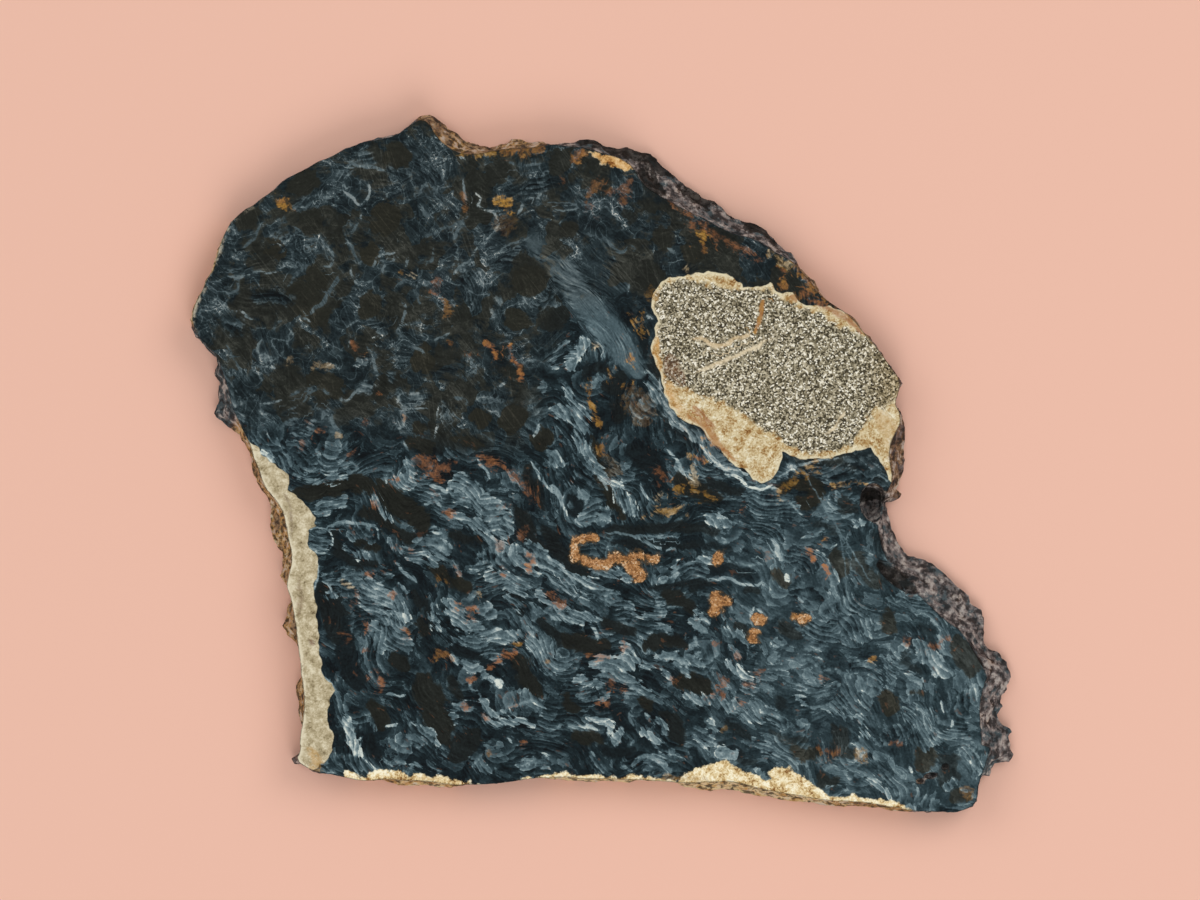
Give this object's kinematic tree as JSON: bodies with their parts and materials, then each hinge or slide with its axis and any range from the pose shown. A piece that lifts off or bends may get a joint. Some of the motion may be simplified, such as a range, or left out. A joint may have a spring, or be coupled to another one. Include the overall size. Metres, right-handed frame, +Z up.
{
  "type": "pietersite slab",
  "caption": "Thin sawn slab of dark brecciated quartz with swirling grey-blue fibres, a pale sandy clast, a tan band and a broken weathered edge.",
  "frame": {"origin": "under the middle of the slab's box, on the surface that it rests on", "axes": "+Z up out of the sawn face, +X to the right and +Y to the top of the face as seen from above"},
  "size_m": [0.1324, 0.1122, 0.006],
  "materials": {
    "pietersite": "sawn and lightly lapped, satin when dry; the broken rim is matt and weathered"
  },
  "bodies": {
    "root": {"pietersite_slab": "pietersite"}
  },
  "joints": []
}
